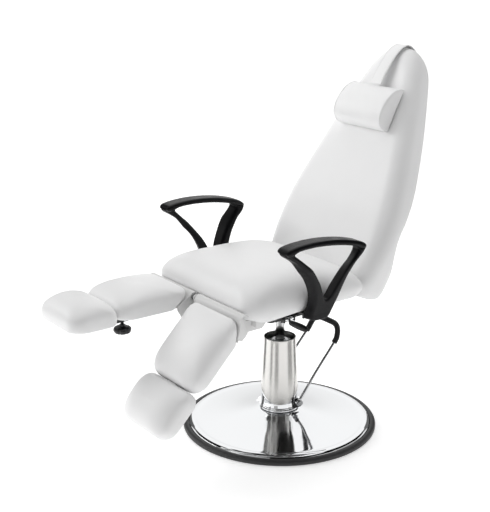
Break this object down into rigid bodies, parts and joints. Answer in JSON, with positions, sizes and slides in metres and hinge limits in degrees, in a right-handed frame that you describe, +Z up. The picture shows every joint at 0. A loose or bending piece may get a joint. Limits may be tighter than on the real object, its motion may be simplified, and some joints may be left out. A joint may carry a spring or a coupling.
{
  "type": "pedicure spa chair",
  "caption": "Reclining pedicure chair on a round hydraulic base: looped black armrests, head pillow, foot pump and split leg rests, one lowered.",
  "frame": {"origin": "on the floor, at the centre of the round base", "axes": "+Z up along the column; the sitter faces -Y; +X is the sitter's left"},
  "size_m": [0.63, 1.2303, 1.1455],
  "materials": {
    "white_vinyl": "smooth, slightly glossy white vinyl upholstery with sewn seams",
    "chrome": "polished",
    "satin_steel": "satin, brushed round the tube",
    "bare_steel": "machined",
    "white_paint": "satin powder coat",
    "black_paint": "satin powder coat",
    "black_foam": "satin integral-skin polyurethane foam",
    "black_rubber": "matt moulded rubber",
    "plywood": "plywood, stained black"
  },
  "bodies": {
    "base": {"floor_plate": "bare_steel", "base_dome": "chrome", "rubber_ring": "black_rubber", "pump_body": "black_paint", "pump_collar": "chrome", "column_sleeve": "satin_steel", "pedal_bracket_left": "black_paint", "pedal_bracket_right": "black_paint"},
    "pedal": {"pedal_frame": "chrome", "pedal_grip": "black_rubber", "pedal_axle": "bare_steel"},
    "lift": {"pump_ram": "chrome"},
    "seat": {"mounting_plate": "black_paint", "cross_bar_front": "black_paint", "cross_bar_rear": "black_paint", "seat_frame": "white_paint", "leg_hinge_bracket_left": "white_paint", "leg_hinge_bracket_centre": "white_paint", "leg_hinge_bracket_right": "white_paint", "leg_axle": "bare_steel", "back_hinge_bracket_left": "black_paint", "back_hinge_bracket_right": "black_paint", "seat_board": "plywood", "seat_cushion": "white_vinyl", "armrest_left": "black_foam", "armrest_right": "black_foam", "arm_bracket_left": "black_paint", "arm_bracket_right": "black_paint", "lever_bracket": "black_paint", "spring_bracket": "black_paint", "spring_cylinder": "black_paint", "strut_cylinder_left": "black_paint", "strut_cylinder_right": "black_paint"},
    "recline_lever": {"recline_lever": "chrome", "recline_grip": "black_rubber"},
    "backrest": {"backrest_cushion": "white_vinyl", "backrest_board": "plywood", "backrest_frame": "black_paint", "backrest_panel": "white_vinyl", "recline_crank": "bare_steel", "back_axle": "bare_steel", "head_strap": "white_vinyl"},
    "spring_rod": {"spring_rod": "chrome"},
    "headrest": {"head_pillow": "white_vinyl"},
    "leg_left": {"leg_frame_left": "white_paint", "calf_board_left": "plywood", "calf_pad_left": "white_vinyl", "slide_socket_left": "black_paint"},
    "foot_left": {"foot_bar_left": "bare_steel", "foot_pad_left": "white_vinyl"},
    "knob_left": {"clamp_knob_left": "black_paint"},
    "strut_rod_left": {"strut_rod_left": "chrome"},
    "leg_right": {"leg_frame_right": "white_paint", "calf_board_right": "plywood", "calf_pad_right": "white_vinyl", "slide_socket_right": "black_paint"},
    "foot_right": {"foot_bar_right": "bare_steel", "foot_pad_right": "white_vinyl"},
    "knob_right": {"clamp_knob_right": "black_paint"},
    "strut_rod_right": {"strut_rod_right": "chrome"}
  },
  "joints": [
    {"name": "pedal_press", "type": "hinge", "parent": "base", "child": "pedal", "pos_m": [0, 0.022, 0.086], "axis": [-1, 0, 0], "range_deg": [0, 20], "stiffness_Nm_per_rad": 20, "springref_deg": -17.19},
    {"name": "seat_lift", "type": "slide", "parent": "base", "child": "lift", "axis": [0, 0, 1], "range_m": [-0.04, 0.11]},
    {"name": "seat_swivel", "type": "hinge", "parent": "lift", "child": "seat", "pos_m": [0, 0, 0.38], "axis": [0, 0, 1], "continuous": true},
    {"name": "lever_pull", "type": "hinge", "parent": "seat", "child": "recline_lever", "pos_m": [0.101, -0.049, 0.385], "axis": [0, -1, 0], "range_deg": [0, 10], "stiffness_Nm_per_rad": 3, "springref_deg": -11.46},
    {"name": "back_recline", "type": "hinge", "parent": "seat", "child": "backrest", "pos_m": [0, 0.14909, 0.4184], "axis": [-1, 0, 0], "range_deg": [0, 60]},
    {"name": "spring_travel", "type": "slide", "parent": "seat", "child": "spring_rod", "axis": [0, -1, 0], "range_m": [0, 0.0385]},
    {"name": "pillow_height", "type": "slide", "parent": "backrest", "child": "headrest", "axis": [0, 0.463, 0.8864], "range_m": [-0.08, 0]},
    {"name": "leg_left_fold", "type": "hinge", "parent": "seat", "child": "leg_left", "pos_m": [0.122, -0.307, 0.477], "axis": [1, 0, 0], "range_deg": [-50, 15]},
    {"name": "strut_left_travel", "type": "slide", "parent": "seat", "child": "strut_rod_left", "axis": [0, 1, 0], "range_m": [-0.0425, 0.0128]},
    {"name": "foot_left_extend", "type": "slide", "parent": "leg_left", "child": "foot_left", "axis": [0, -0.7071, -0.7071], "range_m": [0, 0.07]},
    {"name": "knob_left_turn", "type": "hinge", "parent": "leg_left", "child": "knob_left", "pos_m": [0.122, -0.43216, 0.35184], "axis": [0, -0.7071, 0.7071], "range_deg": [0, 270]},
    {"name": "leg_right_fold", "type": "hinge", "parent": "seat", "child": "leg_right", "pos_m": [-0.122, -0.307, 0.477], "axis": [1, 0, 0], "range_deg": [-5, 60]},
    {"name": "strut_right_travel", "type": "slide", "parent": "seat", "child": "strut_rod_right", "axis": [0, 1, 0], "range_m": [-0.005, 0.0505]},
    {"name": "foot_right_extend", "type": "slide", "parent": "leg_right", "child": "foot_right", "axis": [0, -1, 0], "range_m": [0, 0.07]},
    {"name": "knob_right_turn", "type": "hinge", "parent": "leg_right", "child": "knob_right", "pos_m": [-0.122, -0.484, 0.477], "axis": [0, 0, 1], "range_deg": [0, 270]}
  ],
  "couplings": [
    {"joint": "spring_travel", "follows": "back_recline", "m_per_rad": 0.0362},
    {"joint": "strut_left_travel", "follows": "leg_left_fold", "m_per_rad": 0.0479},
    {"joint": "strut_right_travel", "follows": "leg_right_fold", "m_per_rad": 0.0479}
  ]
}
